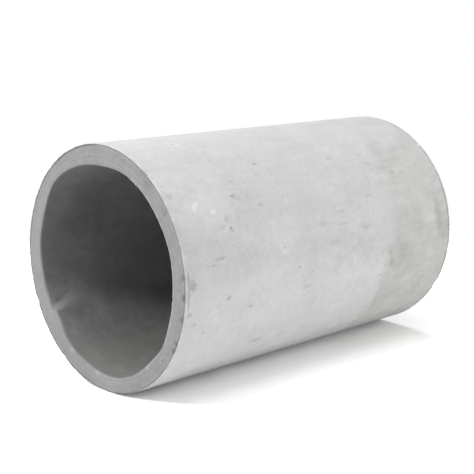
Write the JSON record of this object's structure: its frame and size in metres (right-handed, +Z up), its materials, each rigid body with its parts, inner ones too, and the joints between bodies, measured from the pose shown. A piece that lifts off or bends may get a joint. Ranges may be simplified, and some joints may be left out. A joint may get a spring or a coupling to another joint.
{
  "type": "concrete sewer pipe",
  "caption": "Straight plain-ended concrete drain pipe with a round bore, a thick even wall and softly worn end corners, lying on its side.",
  "frame": {"origin": "on the ground under the middle of the pipe's length, on the line where the barrel touches the ground", "axes": "+X along the pipe's axis towards the far end in the picture, +Y level and square to the pipe, +Z up"},
  "size_m": [1.48, 0.902, 0.9018],
  "materials": {
    "concrete": "plain cast concrete, matte, pale grey on the barrel and darker on the end faces and in the bore"
  },
  "bodies": {
    "root": {"pipe": "concrete"}
  },
  "joints": []
}
